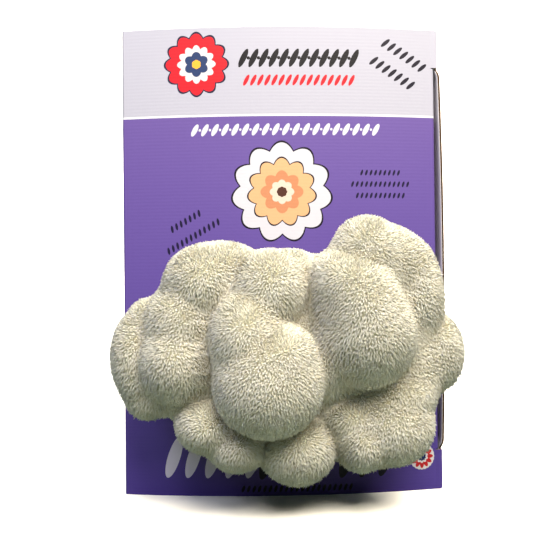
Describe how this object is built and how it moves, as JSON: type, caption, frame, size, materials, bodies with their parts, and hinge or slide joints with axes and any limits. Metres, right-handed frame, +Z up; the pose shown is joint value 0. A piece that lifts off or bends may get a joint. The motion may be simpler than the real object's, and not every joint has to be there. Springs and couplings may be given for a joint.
{
  "type": "lions mane mushroom grow kit",
  "caption": "Upright corrugated mailer box with a bagged sawdust block inside and a lobed, furry lion's mane mushroom grown out through a window in its lid.",
  "frame": {"origin": "middle of the face that the box stands on", "axes": "+Z up the box's height, -Y out of the lid towards the mushroom, +X to the right seen from the lid's side"},
  "size_m": [0.2175, 0.2425, 0.305],
  "materials": {
    "mushroom_flesh": "living lion's mane: soft white flesh under a dense coat of short cream spines, greenish grey where they lie away from the light",
    "bagged_sawdust": "block of sawdust bound by white mycelium, in a clear plastic bag",
    "printed_board": "corrugated board with a white liner, printed purple with a white band and varnished satin",
    "inner_board": "unprinted white inner liner of the same corrugated board"
  },
  "bodies": {
    "root": {"fruiting_body": "mushroom_flesh", "substrate_block": "bagged_sawdust", "lid_panel": "printed_board", "tuck_flap": "printed_board", "left_wall": "printed_board", "right_wall": "printed_board", "back_panel": "printed_board", "top_rolled_wall": "printed_board", "bottom_rolled_wall": "printed_board", "top_left_corner_flap": "inner_board", "top_right_corner_flap": "inner_board", "bottom_left_corner_flap": "inner_board", "bottom_right_corner_flap": "inner_board"}
  },
  "joints": []
}
